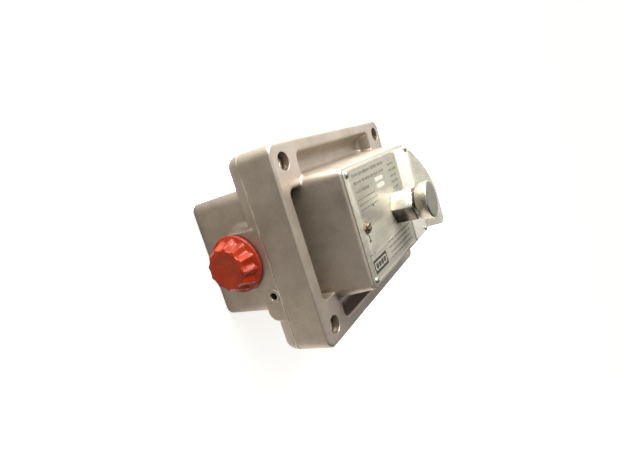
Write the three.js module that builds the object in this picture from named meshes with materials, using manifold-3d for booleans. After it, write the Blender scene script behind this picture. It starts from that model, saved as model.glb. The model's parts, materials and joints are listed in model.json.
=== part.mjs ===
// Explosion-proof vibration switch: two-piece cast enclosure with a raised, hollow front box, a latching
// spring-and-magnet mechanism inside it, a manual reset button, a set-point screw and a plugged conduit
// entry.
// Millimetres, +Z out of the nameplate, +X along the nameplate's reading direction, +Y up it.
// The origin is the centre of the flat back face.

import * as THREE from 'three';
import { mergeVertices } from 'three/addons/utils/BufferGeometryUtils.js';
import Module from 'manifold-3d';

const wasm = await Module();
wasm.setup();

// ---- driving dimensions (mm) -------------------------------------------------------------------
const SEAT = 0.05;            // clearance left between two faces that rest on each other
const FIT = 0.3;              // clearance round anything that passes through a hole
const FAR = 200;              // reach of a cut that goes right through

const RIM = 75.5;             // height of the cover's front rim
const FLANGE = { halfX: 74, halfY: 53.2, corner: 5, back: RIM - 30.4, round: 9.5 };
const JOINT_Z = RIM - 20;     // ground joint between body and cover

const REAR = { halfX: 58, halfY: 35, corner: 5, edge: 2.2, grow: 0.8 };
const CAVITY = { halfX: 52, halfY: 28, corner: 6, floor: 5 };

const HUB = { z: RIM - 40, halfY: 15.8, face: -74, boreR: 12.6, fillet: 6 };
const LUG = { low: -34.4, round: 5, top: RIM - 20, tipZ: RIM - 30.8, inner: -62 };
const EARTH_HOLE = { y: -20.6, z: RIM - 24, r: 1.9, depth: 7 };

const POCKET = { floor: RIM - 9, outX: 66.5, outY: 46.5, endX: 50.5, endY: 29.5, corner: 4, slope: 3.5 };
const BOX = { halfX: 53, halfY: 32, corner: 3.6, front: RIM + 21.8, draft: 0.1, wall: 4, fillet: 1.5 };
const BOX_HOLLOW = { halfX: 48.5, halfY: 27.5, corner: 4 };

const BOLT = { x: 63.6, y: 43.5, shankR: 2.5, headR: 4.25, headH: 5, socketR: 2.35, socketDepth: 2.8 };
const COUNTERBORE = { r: 4.75, floor: RIM - 9 };
const BOLT_TIP_Z = RIM - 27.5;

const ORING = { halfX: 55.6, halfY: 31.6, corner: 7, wire: 1.5, groove: 1.9 };
const MOUNT_HOLE = { x: 46.5, y: 22.5, r: 2.1, depth: 9, bossR: 6.2, bossTop: 11.5 };

const PLATE = { halfX: 51.5, halfY: 30.8, corner: 2.6, thick: 0.6 };
const PLATE_Z = BOX.front + SEAT;
const PLATE_TOP = PLATE_Z + PLATE.thick;
const RIVET = { x: 48.3, y: 28, headR: 1.8, headH: 1.25, shankR: 0.8, shankLength: 2.6 };

const BUTTON = { x: 8.2, y: -2.2 };
const BUSHING = { hexR: 10.8, hexH: 12.8, threadR: 6.5, boreR: 3.3, springR: 6.2 };
const BUSHING_TIP = BOX.front - 9.8;
const SPRING_FLOOR = BOX.front + 5.7;
const NUT = { hexR: 9.8, height: 3.5, z: BOX.front - BOX.wall - SEAT };
const CAP = { r: 11, gap: 2, height: 7.2, edge: 0.7 };
const PLUNGER = { r: 3, tipZ: 43.2, grooveZ: BUSHING_TIP - 1.9, grooveR: 2.2, grooveH: 1 };
const RETURN_SPRING = { r: 4.7, wire: 0.45, turns: 4 };
const SEAL = { z: BOX.front + 2.2, r: 3.95, wire: 0.6, grooveR: 4.9, grooveH: 1.6 };

const GUARD = { left: 26.5, right: 52.6, thick: 0.9, halfY: 30, tall: 13.4, foot: -28.6 };

const SETPOINT = { x: -42, y: -1, screwR: 1.6, headR: 2.3, headH: 1, slot: 0.3, slotDepth: 0.6,
  bushingR: 3.6, bushingH: 0.9, threadR: 2.8 };
const SETPOINT_NUT = { half: 4, z: RIM - 1, height: 4 };

const PLUG = { flangeR: 15.9, flangeT: 2, gripBase: 14.3, gripTip: 11.2, gripLength: 8, flutes: 12,
  fluteR: 1.7, skirtR: 12.2, skirt: 11 };

const BASE = { x0: -28, x1: 50, halfY: 21, z: 12, thick: 2 };
const BASE_TOP = BASE.z + SEAT + BASE.thick;
const FIXINGS = [[-22, -15], [-22, 15], [44, 15], [44, -15]];
const STANDOFF = { r: 4, tapZ: 6.5 };
const M3 = { r: 1.5, headR: 2.8, headH: 2, slot: 0.35, slotDepth: 0.8 };
const PIVOT = { x: 42, z: 38, pinR: 1.5, clear: 0.06, halfY: 12, half: 5, earIn: 8.4, earOut: 10,
  sheet: 1.6 };
const TRIP_ANGLE = THREE.MathUtils.degToRad(3);
const ARMATURE = { x0: -46, halfY: 7, z0: 36, z1: 41, hubR: 4 };
const WEIGHT = { x0: -36, x1: -26, halfY: 9.5, height: 8 };
const MAGNET = { x: -10, r: 6, postR: 4, split: 23, top: 35.7 };
const STOP = { x0: -22, x1: -14, y0: 9.6, thick: 1.6, lipZ: 44.7 };
const RANGE_SPRING = { r: 3, wire: 0.5, turns: 9, z0: 45.9, z1: SETPOINT_NUT.z - 1.1 };
const SWITCH = { x0: 12, x1: 36, halfY: 5, z0: 18, z1: 34.4, plungerX: 24, plungerR: 1.2,
  plungerTop: 36.5 };
const TERMINALS = { x0: -48, x1: -33, halfY: 15.8, z0: CAVITY.floor + SEAT, z1: 17, pitch: 11,
  wellDepth: 3.2 };
const WIRE_R = 0.9;

// ---- materials ---------------------------------------------------------------------------------
const look = (color, roughness, metalness, more = {}) =>
  new THREE.MeshStandardMaterial({ color, roughness, metalness, ...more });
const CAST = () => look(0xb0a490, 0.5, 0.7);
const STEEL = () => look(0xb4b2ac, 0.35, 1);
const BRIGHT = () => look(0xdcd8cc, 0.15, 1);
const BRASS = () => look(0xb08d4a, 0.35, 1);
const RUBBER = () => look(0x1c1c1c, 0.8, 0);

// ---- solids ------------------------------------------------------------------------------------
function solid(geometry) {
  const bare = new THREE.BufferGeometry();
  bare.setAttribute('position', geometry.getAttribute('position').clone());
  if (geometry.index) bare.setIndex(geometry.index.clone());
  const merged = mergeVertices(bare, 1e-4);
  return new wasm.Manifold(new wasm.Mesh({
    numProp: 3,
    vertProperties: new Float32Array(merged.getAttribute('position').array),
    triVerts: new Uint32Array(merged.index.array),
  }));
}

function geometryOf(manifold) {
  const mesh = manifold.getMesh();
  const geometry = new THREE.BufferGeometry();
  geometry.setAttribute('position', new THREE.BufferAttribute(new Float32Array(mesh.vertProperties), 3));
  geometry.setIndex(new THREE.BufferAttribute(new Uint32Array(mesh.triVerts), 1));
  geometry.computeVertexNormals();
  return geometry;
}

const join = (first, ...rest) => rest.reduce((whole, next) => whole.add(next), first);
const cut = (whole, ...tools) => tools.reduce((left, tool) => left.subtract(tool), whole);
const joinAll = (pieces) => join(...pieces);

function box(x0, x1, y0, y1, z0, z1) {
  const geometry = new THREE.BoxGeometry(x1 - x0, y1 - y0, z1 - z0);
  return solid(geometry.translate((x0 + x1) / 2, (y0 + y1) / 2, (z0 + z1) / 2));
}

// upright cylinder (or cone, or prism when sides is small) between two heights
function post(x, y, r, z0, z1, sides = 24, topR = r, turn = 0) {
  const geometry = new THREE.CylinderGeometry(topR, r, z1 - z0, sides);
  return solid(geometry.rotateX(Math.PI / 2).rotateZ(turn).translate(x, y, (z0 + z1) / 2));
}

const alongX = (x0, x1, r, y, z, sides = 24, endR = r) => {
  const geometry = new THREE.CylinderGeometry(endR, r, x1 - x0, sides);
  return solid(geometry.rotateZ(-Math.PI / 2).translate((x0 + x1) / 2, y, z));
};

const alongY = (y0, y1, r, x, z, sides = 16) =>
  solid(new THREE.CylinderGeometry(r, r, y1 - y0, sides).translate(x, (y0 + y1) / 2, z));

// regular hexagonal prism with corners on +-X
const hexPost = (x, y, r, z0, z1) => post(x, y, r, z0, z1, 6, r, Math.PI / 2);

function roundedRect(halfX, halfY, r) {
  const shape = new THREE.Shape();
  shape.moveTo(-halfX + r, -halfY);
  shape.lineTo(halfX - r, -halfY);
  shape.absarc(halfX - r, -halfY + r, r, -Math.PI / 2, 0, false);
  shape.absarc(halfX - r, halfY - r, r, 0, Math.PI / 2, false);
  shape.absarc(-halfX + r, halfY - r, r, Math.PI / 2, Math.PI, false);
  shape.absarc(-halfX + r, -halfY + r, r, Math.PI, Math.PI * 1.5, false);
  return shape;
}

function slab(halfX, halfY, corner, z0, z1, steps = 6) {
  const options = { depth: z1 - z0, bevelEnabled: false, curveSegments: steps };
  return solid(new THREE.ExtrudeGeometry(roundedRect(halfX, halfY, corner), options).translate(0, 0, z0));
}

// rounded block whose outline changes with height: each ring is { z, grow }, grow being added all round
function swollenBlock(halfX, halfY, corner, rings, steps = 5) {
  const outlines = rings.map(({ z, grow }) => {
    const points = [];
    const centres = [[1, -1], [1, 1], [-1, 1], [-1, -1]];
    centres.forEach(([sx, sy], quarter) => {
      for (let i = 0; i <= steps; i++) {
        const angle = (quarter - 1 + i / steps) * Math.PI / 2;
        const r = Math.max(corner + grow, 1);
        const x = sx * (halfX + grow - r) + r * Math.cos(angle);
        const y = sy * (halfY + grow - r) + r * Math.sin(angle);
        points.push([x, y, z]);
      }
    });
    return points;
  });
  const count = outlines[0].length;
  const last = outlines.length - 1;
  const positions = outlines.flat(2);
  positions.push(0, 0, rings[0].z, 0, 0, rings[last].z);
  const lowCentre = outlines.length * count;
  const index = [];
  for (let i = 0; i < count; i++) {
    const next = (i + 1) % count;
    for (let ring = 0; ring < last; ring++) {
      const a = ring * count + i;
      const b = ring * count + next;
      index.push(a, b, b + count, a, b + count, a + count);
    }
    index.push(lowCentre, next, i);
    index.push(lowCentre + 1, last * count + i, last * count + next);
  }
  const geometry = new THREE.BufferGeometry();
  geometry.setAttribute('position', new THREE.Float32BufferAttribute(positions, 3));
  geometry.setIndex(index);
  return solid(geometry);
}

// quarter-round rings that shrink an outline by `radius` at height z0 and open to full size above it
function roundedFoot(z0, radius, steps = 4) {
  const rings = [];
  for (let i = 0; i <= steps; i++) {
    const angle = (i / steps) * Math.PI / 2;
    rings.push({ z: z0 + radius * (1 - Math.cos(angle)), grow: radius * (Math.sin(angle) - 1) });
  }
  return rings;
}

// closed rectangular ring with a rounded outline, of square section
function ringSlab(halfX, halfY, corner, width, z0, z1) {
  const outer = slab(halfX + width / 2, halfY + width / 2, corner + width / 2, z0, z1);
  return cut(outer, slab(halfX - width / 2, halfY - width / 2, corner - width / 2, z0 - 1, z1 + 1));
}

class Helix extends THREE.Curve {
  constructor(r, z0, z1, turns) {
    super();
    Object.assign(this, { r, z0, z1, turns });
  }

  getPoint(t, target = new THREE.Vector3()) {
    const angle = t * this.turns * 2 * Math.PI;
    const height = this.z0 + (this.z1 - this.z0) * t;
    return target.set(this.r * Math.cos(angle), this.r * Math.sin(angle), height);
  }
}

function swept(path, r, steps, sides = 6) {
  const section = new THREE.Shape();
  for (let i = 0; i < sides; i++) {
    const angle = (i / sides) * 2 * Math.PI;
    if (i === 0) section.moveTo(r, 0);
    else section.lineTo(r * Math.cos(angle), r * Math.sin(angle));
  }
  return new THREE.ExtrudeGeometry(section, { steps, extrudePath: path, bevelEnabled: false });
}

// ---- scene graph -------------------------------------------------------------------------------
const object = new THREE.Group();

function piece(name, shape, material, parent = object) {
  const geometry = shape.getMesh ? geometryOf(shape) : shape;
  const mesh = new THREE.Mesh(geometry, material);
  mesh.name = name;
  parent.add(mesh);
  return mesh;
}

const FOUR_CORNERS = [[-1, 1], [1, 1], [1, -1], [-1, -1]];
const fourAt = (x, y, make) => joinAll(FOUR_CORNERS.map(([sx, sy]) => make(sx * x, sy * y)));

// ---- enclosure ---------------------------------------------------------------------------------
function flangeSlab() {
  const rings = roundedFoot(FLANGE.back, FLANGE.round);
  rings.push({ z: JOINT_Z, grow: 0 });
  return swollenBlock(FLANGE.halfX, FLANGE.halfY, FLANGE.corner, rings);
}

// concave collar where the round hub meets the rear box
function hubFillet() {
  const steps = 4;
  const profile = [new THREE.Vector2(0, -2)];
  for (let i = 0; i <= steps; i++) {
    const angle = (i / steps) * Math.PI / 2;
    const r = HUB.halfY + HUB.fillet * (1 - Math.sin(angle)) + 0.05;
    profile.push(new THREE.Vector2(r, HUB.fillet * (1 - Math.cos(angle))));
  }
  profile.splice(1, 0, new THREE.Vector2(profile[1].x, -2));
  profile.push(new THREE.Vector2(0, HUB.fillet));
  const collar = new THREE.LatheGeometry(profile, 40).rotateZ(Math.PI / 2);
  return solid(collar.translate(-REAR.halfX, 0, HUB.z));
}

function conduitHub() {
  const inner = -CAVITY.halfX - 2;
  const round = alongX(HUB.face, inner, HUB.halfY, 0, HUB.z, 40);
  const web = box(HUB.face, inner, -HUB.halfY, HUB.halfY, HUB.z, FLANGE.back + FLANGE.round);
  return join(round, web, hubFillet());
}

function groundLug() {
  const { low, round, tipZ, top, inner } = LUG;
  const high = -HUB.halfY + 1;
  const block = box(HUB.face, inner, low + round, high, tipZ, top);
  const edge = box(HUB.face, inner, low, high, tipZ + round, top);
  const corner = alongX(HUB.face, inner, round, low + round, tipZ + round, 24);
  return join(block, edge, corner);
}

function bodyHousing() {
  const rearRings = roundedFoot(0, REAR.edge);
  rearRings.push({ z: FLANGE.back + FLANGE.round, grow: REAR.grow });
  const shell = join(
    swollenBlock(REAR.halfX, REAR.halfY, REAR.corner, rearRings),
    flangeSlab(), conduitHub(), groundLug(),
  );
  const hollow = slab(CAVITY.halfX, CAVITY.halfY, CAVITY.corner, CAVITY.floor, JOINT_Z + 1);
  const bosses = fourAt(MOUNT_HOLE.x, MOUNT_HOLE.y,
    (x, y) => post(x, y, MOUNT_HOLE.bossR, CAVITY.floor - 1, MOUNT_HOLE.bossTop, 18));
  const standoffs = joinAll(FIXINGS.map(([x, y]) => post(x, y, STANDOFF.r, CAVITY.floor - 1, BASE.z, 16)));
  const tapped = joinAll(FIXINGS.map(([x, y]) => post(x, y, M3.r + FIT, STANDOFF.tapZ, BASE.z + 1, 10)));
  const boltHoles = fourAt(BOLT.x, BOLT.y,
    (x, y) => post(x, y, BOLT.shankR + FIT, BOLT_TIP_Z - 0.8, JOINT_Z + 1, 14));
  const backHoles = fourAt(MOUNT_HOLE.x, MOUNT_HOLE.y,
    (x, y) => post(x, y, MOUNT_HOLE.r, -1, MOUNT_HOLE.depth, 14));
  const groove = ringSlab(ORING.halfX, ORING.halfY, ORING.corner, ORING.wire * 2 + FIT * 2,
    JOINT_Z - ORING.groove, JOINT_Z + 1);
  const conduit = alongX(HUB.face - 1, -CAVITY.halfX + 1, HUB.boreR, 0, HUB.z, 32, HUB.boreR - 0.3);
  const earthHole = alongX(HUB.face - 1, HUB.face + EARTH_HOLE.depth, EARTH_HOLE.r,
    EARTH_HOLE.y, EARTH_HOLE.z, 16);
  const aboveJoint = box(-FAR, FAR, -FAR, FAR, JOINT_Z, FAR);
  const casting = cut(shell, hollow, boltHoles, groove, conduit, earthHole, aboveJoint);
  return join(casting, cut(join(bosses, standoffs), tapped)).subtract(backHoles);
}

// shallow pocket round the box; its outer walls above and below the box slope down to the floor
function coverPockets() {
  const { floor, outX, outY, endX, endY, corner, slope } = POCKET;
  const sloped = [{ z: floor, grow: -slope }, { z: RIM, grow: 0 }, { z: RIM + 1, grow: 0 }];
  return join(swollenBlock(endX, outY, corner, sloped), slab(outX, endY, corner, floor, RIM + 1));
}

function frontBox() {
  const rings = [];
  const steps = 4;
  for (let i = 0; i <= steps; i++) {
    const angle = (i / steps) * Math.PI / 2;
    const z = POCKET.floor + BOX.fillet * Math.sin(angle);
    rings.push({ z, grow: BOX.fillet * (1 - Math.sin(angle)) + BOX.draft * (BOX.front - z) });
  }
  rings.unshift({ z: JOINT_Z + 2, grow: rings[0].grow });
  rings.push({ z: BOX.front - 0.8, grow: 0 }, { z: BOX.front, grow: -0.6 });
  return swollenBlock(BOX.halfX, BOX.halfY, BOX.corner, rings);
}

function cover() {
  const slabRings = [
    { z: JOINT_Z + SEAT, grow: 0 },
    { z: RIM - 0.5, grow: 0 },
    { z: RIM, grow: -0.5 },
  ];
  const plate = swollenBlock(FLANGE.halfX, FLANGE.halfY, FLANGE.corner, slabRings);
  const ceiling = BOX.front - BOX.wall;
  const hollow = slab(BOX_HOLLOW.halfX, BOX_HOLLOW.halfY, BOX_HOLLOW.corner, JOINT_Z - 1, ceiling);
  const bolts = fourAt(BOLT.x, BOLT.y, (x, y) => join(
    post(x, y, BOLT.shankR + FIT, JOINT_Z - 1, RIM + 1, 14),
    post(x, y, COUNTERBORE.r, COUNTERBORE.floor, RIM + 1, 24),
  ));
  const rivets = fourAt(RIVET.x, RIVET.y,
    (x, y) => post(x, y, RIVET.shankR + FIT, BOX.front - RIVET.shankLength - 0.4, BOX.front + 1, 12));
  const button = post(BUTTON.x, BUTTON.y, BUSHING.threadR + FIT, ceiling - 1, BOX.front + 1, 32);
  const setpoint = post(SETPOINT.x, SETPOINT.y, SETPOINT.threadR + FIT, ceiling - 1, BOX.front + 1, 20);
  return cut(join(cut(plate, coverPockets()), frontBox()), hollow, bolts, rivets, button, setpoint);
}

function coverSeal() {
  const bottom = JOINT_Z - ORING.groove + SEAT;
  return ringSlab(ORING.halfX, ORING.halfY, ORING.corner, ORING.wire * 2, bottom, JOINT_Z - SEAT);
}

function socketScrew(x, y, seatZ, tipZ) {
  const head = cut(
    join(
      post(x, y, BOLT.headR, seatZ + SEAT, seatZ + BOLT.headH - 0.5, 20),
      post(x, y, BOLT.headR, seatZ + BOLT.headH - 0.5, seatZ + BOLT.headH, 20, BOLT.headR - 0.4),
    ),
    hexPost(x, y, BOLT.socketR, seatZ + BOLT.headH - BOLT.socketDepth, seatZ + BOLT.headH + 1),
  );
  return join(head, post(x, y, BOLT.shankR, tipZ, seatZ + 1, 12));
}

function enclosure() {
  piece('body_housing', bodyHousing(), CAST());
  piece('cover', cover(), CAST());
  piece('cover_seal', coverSeal(), RUBBER());
  FOUR_CORNERS.forEach(([sx, sy], i) => {
    const screw = socketScrew(sx * BOLT.x, sy * BOLT.y, COUNTERBORE.floor, BOLT_TIP_Z);
    piece(`cover_screw_${i + 1}`, screw, STEEL());
  });
}

// ---- nameplate and clear guard -----------------------------------------------------------------
function domedScrew(x, y, seatZ, tipZ) {
  const profile = [
    [0, tipZ], [RIVET.shankR, tipZ + 0.5], [RIVET.shankR, seatZ], [RIVET.headR, seatZ],
    [RIVET.headR, seatZ + 0.3], [RIVET.headR * 0.83, seatZ + RIVET.headH * 0.68],
    [RIVET.headR * 0.48, seatZ + RIVET.headH * 0.94], [0, seatZ + RIVET.headH],
  ];
  const points = profile.map(([r, z]) => new THREE.Vector2(r, z));
  const head = solid(new THREE.LatheGeometry(points, 14).rotateX(Math.PI / 2).translate(x, y, 0));
  const top = seatZ + RIVET.headH;
  return cut(head, box(x - 0.25, x + 0.25, y - 3, y + 3, top - 0.55, top + 1));
}

function nameplate() {
  const plate = slab(PLATE.halfX, PLATE.halfY, PLATE.corner, PLATE_Z, PLATE_TOP, 5);
  const screws = fourAt(RIVET.x, RIVET.y, (x, y) => post(x, y, RIVET.shankR + FIT, -FAR, FAR, 12));
  const button = post(BUTTON.x, BUTTON.y, BUSHING.threadR + FIT, -FAR, FAR, 32);
  const setpoint = post(SETPOINT.x, SETPOINT.y, SETPOINT.threadR + FIT, -FAR, FAR, 20);
  return cut(plate, screws, button, setpoint);
}

// upright leaf: a long curve rises from the plate's upper edge to full height, then a square foot returns
function guardLeaf(z0) {
  const shape = new THREE.Shape();
  shape.moveTo(GUARD.foot, 0);
  shape.lineTo(GUARD.foot + 0.8, GUARD.tall * 0.75);
  shape.quadraticCurveTo(GUARD.foot + 1.2, GUARD.tall, GUARD.foot + 4.5, GUARD.tall);
  shape.lineTo(-9, GUARD.tall);
  shape.bezierCurveTo(4, GUARD.tall, 20, GUARD.tall * 0.62, GUARD.halfY - 0.6, 0);
  const options = { depth: GUARD.thick, bevelEnabled: false, curveSegments: 10 };
  const geometry = new THREE.ExtrudeGeometry(shape, options);
  geometry.rotateX(Math.PI / 2).rotateZ(Math.PI / 2);
  return solid(geometry.translate(GUARD.right - GUARD.thick, 0, z0));
}

function buttonGuard() {
  const z0 = PLATE_TOP + SEAT;
  const footEnd = GUARD.right - GUARD.thick / 2;
  const foot = cut(
    slab((footEnd - GUARD.left) / 2, GUARD.halfY, 2, z0, z0 + GUARD.thick, 4)
      .translate([(footEnd + GUARD.left) / 2, 0, 0]),
    joinAll([1, -1].map((sy) => post(RIVET.x, sy * RIVET.y, RIVET.shankR + FIT, -FAR, FAR, 12))),
  );
  return join(foot, guardLeaf(z0 + GUARD.thick / 3));
}

function platework() {
  piece('nameplate', nameplate(), look(0xbab6a6, 0.4, 0.8));
  FOUR_CORNERS.forEach(([sx, sy], i) => {
    const lift = sx > 0 ? GUARD.thick + SEAT : 0;
    const seat = PLATE_TOP + SEAT + lift;
    const screw = domedScrew(sx * RIVET.x, sy * RIVET.y, seat, BOX.front - RIVET.shankLength);
    piece(`nameplate_screw_${i + 1}`, screw, STEEL());
  });
  piece('button_guard', buttonGuard(), look(0xf2efe2, 0.15, 0, { transparent: true, opacity: 0.45 }));
}

// ---- reset button ------------------------------------------------------------------------------
const HEX_TOP = PLATE_TOP + SEAT + BUSHING.hexH;
const CAP_REAR = HEX_TOP + CAP.gap;

function buttonBushing() {
  const { x, y } = BUTTON;
  const hex = hexPost(x, y, BUSHING.hexR, PLATE_TOP + SEAT, HEX_TOP);
  const crown = post(x, y, BUSHING.hexR * 1.9, PLATE_TOP, HEX_TOP, 36, BUSHING.hexR * 0.94);
  const thread = post(x, y, BUSHING.threadR, BUSHING_TIP, PLATE_TOP + 1, 32);
  return cut(
    join(hex.intersect(crown), thread),
    post(x, y, BUSHING.boreR, BUSHING_TIP - 1, HEX_TOP + 1, 24),
    post(x, y, BUSHING.springR, SPRING_FLOOR, HEX_TOP + 1, 28),
    post(x, y, SEAL.grooveR, SEAL.z - SEAL.grooveH / 2, SEAL.z + SEAL.grooveH / 2, 28),
  );
}

function buttonCap() {
  const { x, y } = BUTTON;
  const profile = [
    [0, CAP_REAR], [CAP.r - CAP.edge, CAP_REAR], [CAP.r, CAP_REAR + CAP.edge],
    [CAP.r, CAP_REAR + CAP.height - CAP.edge], [CAP.r - CAP.edge, CAP_REAR + CAP.height],
    [CAP.r * 0.4, CAP_REAR + CAP.height - 0.25], [0, CAP_REAR + CAP.height - 0.3],
  ];
  const points = profile.map(([r, z]) => new THREE.Vector2(r, z));
  const knob = solid(new THREE.LatheGeometry(points, 32).rotateX(Math.PI / 2).translate(x, y, 0));
  return cut(knob, post(x, y, PLUNGER.r - 0.5 + FIT, CAP_REAR - 1, CAP_REAR + 4.3, 20));
}

function resetPlunger() {
  const { x, y } = BUTTON;
  const stem = join(
    post(x, y, PLUNGER.r, PLUNGER.tipZ, CAP_REAR - FIT, 24),
    post(x, y, PLUNGER.r - 0.5, CAP_REAR - 1, CAP_REAR + 4, 20),
  );
  const collar = cut(post(x, y, PLUNGER.r + 1, PLUNGER.grooveZ, PLUNGER.grooveZ + PLUNGER.grooveH, 28),
    post(x, y, PLUNGER.grooveR, -FAR, FAR, 24));
  return cut(stem, collar);
}

function retainingRing() {
  const { x, y } = BUTTON;
  const { grooveZ, grooveH, grooveR } = PLUNGER;
  const disc = post(x, y, 5.2, grooveZ + 0.1, grooveZ + grooveH - 0.1, 28);
  const mouth = box(x - 1.6, x + 1.6, y - 7, y - 1, grooveZ - 1, grooveZ + grooveH + 1);
  return cut(disc, post(x, y, grooveR + 0.2, -FAR, FAR, 24), mouth);
}

function resetButton() {
  const { x, y } = BUTTON;
  piece('button_bushing', buttonBushing(), BRIGHT());
  piece('button_locknut', cut(
    hexPost(x, y, NUT.hexR, NUT.z - NUT.height, NUT.z),
    post(x, y, BUSHING.threadR + FIT, NUT.z - NUT.height - 1, NUT.z + 1, 32),
  ), STEEL());
  piece('button_cap', buttonCap(), look(0xa8a294, 0.3, 0.9));
  piece('reset_plunger', resetPlunger(), STEEL());
  piece('retaining_ring', retainingRing(), STEEL());
  const seal = new THREE.TorusGeometry(SEAL.r, SEAL.wire, 6, 20).translate(x, y, SEAL.z);
  piece('plunger_seal', solid(seal), RUBBER());
  const coil = new Helix(RETURN_SPRING.r, SPRING_FLOOR + 0.7, CAP_REAR - 0.7, RETURN_SPRING.turns);
  const spring = swept(coil, RETURN_SPRING.wire, RETURN_SPRING.turns * 12, 5).translate(x, y, 0);
  piece('return_spring', solid(spring), STEEL());
}

// ---- set-point adjustment ----------------------------------------------------------------------
function setpoint() {
  const { x, y } = SETPOINT;
  const top = PLATE_TOP + SEAT + SETPOINT.bushingH;
  const head = top + SEAT + SETPOINT.headH;
  const bushing = cut(
    join(
      hexPost(x, y, SETPOINT.bushingR, PLATE_TOP + SEAT, top),
      post(x, y, SETPOINT.threadR, BOX.front - BOX.wall - 2, PLATE_TOP + 1, 20),
    ),
    post(x, y, SETPOINT.screwR + 0.08, SETPOINT_NUT.z, top + 1, 20),
  );
  piece('setpoint_bushing', bushing, BRASS());
  const screw = cut(
    join(
      post(x, y, SETPOINT.headR, top + SEAT, head, 24),
      post(x, y, SETPOINT.screwR, SETPOINT_NUT.z - 3, top + 0.5, 20),
    ),
    box(x - SETPOINT.headR - 1, x + SETPOINT.headR + 1, y - SETPOINT.slot, y + SETPOINT.slot,
      head - SETPOINT.slotDepth, head + 1),
  );
  piece('setpoint_screw', screw, BRIGHT());
  const { half, z, height } = SETPOINT_NUT;
  const nut = cut(box(x - half, x + half, y - half, y + half, z, z + height),
    post(x, y, SETPOINT.screwR + 0.08, z - 1, z + height + 1, 20));
  piece('spring_nut', nut, BRASS());
  const { r, wire, turns, z0, z1 } = RANGE_SPRING;
  const coil = swept(new Helix(r, z0 + wire, z1 - wire, turns), wire, turns * 9, 5);
  piece('range_spring', solid(coil.translate(x, y, 0)), STEEL());
}

// ---- conduit plug ------------------------------------------------------------------------------
function conduitPlug() {
  const tipX = HUB.face - FIT - PLUG.flangeT - PLUG.gripLength;
  const baseX = HUB.face - FIT - PLUG.flangeT;
  const grip = alongX(tipX, baseX + 0.5, PLUG.gripTip, 0, HUB.z, 36, PLUG.gripBase);
  const fluteReach = PLUG.gripTip + 1.2;
  const flutes = [];
  for (let i = 0; i < PLUG.flutes; i++) {
    const angle = ((i + 0.5) / PLUG.flutes) * 2 * Math.PI;
    const fluteZ = HUB.z + fluteReach * Math.sin(angle);
    flutes.push(alongX(tipX - 1, baseX, PLUG.fluteR, fluteReach * Math.cos(angle), fluteZ, 8));
  }
  const body = join(
    cut(grip, joinAll(flutes)),
    alongX(baseX, HUB.face - FIT, PLUG.flangeR, 0, HUB.z, 40),
    alongX(HUB.face - FIT - 0.5, HUB.face + PLUG.skirt, PLUG.skirtR, 0, HUB.z, 32, PLUG.skirtR - 0.4),
  );
  const hollow = alongX(tipX + 2, HUB.face + PLUG.skirt + 1, PLUG.gripTip - 3.2,
    0, HUB.z, 24, PLUG.skirtR - 2.2);
  const dimple = alongX(tipX - 1, tipX + 0.6, 6.5, 0, HUB.z, 24);
  return cut(body, hollow, dimple);
}

// ---- mechanism ---------------------------------------------------------------------------------
function slottedScrew(x, y, seat, tipZ) {
  const top = seat + M3.headH;
  return cut(
    join(post(x, y, M3.headR, seat, top, 16), post(x, y, M3.r, tipZ, seat + 1, 10)),
    box(x - M3.headR - 1, x + M3.headR + 1, y - M3.slot, y + M3.slot, top - M3.slotDepth, top + 1),
  );
}

function chassis() {
  const holes = joinAll(FIXINGS.map(([x, y]) => post(x, y, M3.r + FIT, -FAR, FAR, 16)));
  const sheet = box(BASE.x0, BASE.x1, -BASE.halfY, BASE.halfY, BASE.z + SEAT, BASE_TOP);
  piece('mechanism_plate', cut(sheet, holes), STEEL());
  FIXINGS.forEach(([x, y], i) => {
    piece(`mechanism_screw_${i + 1}`, slottedScrew(x, y, BASE_TOP + SEAT, STANDOFF.tapZ + 0.5), STEEL());
  });
}

function pivotBracket() {
  const { x, z, pinR, clear, half, earIn, earOut, sheet } = PIVOT;
  const seat = BASE_TOP + SEAT;
  const ears = [[earIn, earOut], [-earOut, -earIn]].map(([y0, y1]) => join(
    box(x - half, x + half, y0, y1, seat, z),
    alongY(y0, y1, half, x, z, 28),
  ));
  const floor = box(x - half, x + half, -earOut, earOut, seat, seat + sheet);
  return cut(join(floor, ...ears), alongY(-FAR, FAR, pinR + clear, x, z, 24));
}

// drawn with the pivot at the local origin, so that its group carries the tripped angle
function tiltingArm() {
  const arm = new THREE.Group();
  arm.position.set(PIVOT.x, 0, PIVOT.z);
  arm.rotation.y = TRIP_ANGLE;
  object.add(arm);

  const low = ARMATURE.z0 - PIVOT.z;
  const high = ARMATURE.z1 - PIVOT.z;
  const weightX = (WEIGHT.x0 + WEIGHT.x1) / 2 - PIVOT.x;
  const bar = cut(
    join(
      box(ARMATURE.x0 - PIVOT.x, 0, -ARMATURE.halfY, ARMATURE.halfY, low, high),
      alongY(-ARMATURE.halfY, ARMATURE.halfY, ARMATURE.hubR, 0, 0, 28),
    ),
    alongY(-FAR, FAR, PIVOT.pinR + PIVOT.clear, 0, 0, 24),
    post(weightX, 0, M3.r + FIT, low - 1, high + 1, 16),
  );
  piece('armature', bar, STEEL(), arm);

  const weightLow = high + FIT;
  const weightTop = weightLow + WEIGHT.height;
  const { x0, x1, halfY } = WEIGHT;
  const block = cut(
    box(x0 - PIVOT.x, x1 - PIVOT.x, -halfY, halfY, weightLow, weightTop),
    post(weightX, 0, M3.r + FIT, weightLow - 1, weightTop + 1, 16),
  );
  piece('inertia_weight', block, BRASS(), arm);
  piece('weight_screw', slottedScrew(weightX, 0, weightTop + FIT, low + 0.5), STEEL(), arm);
}

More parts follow.
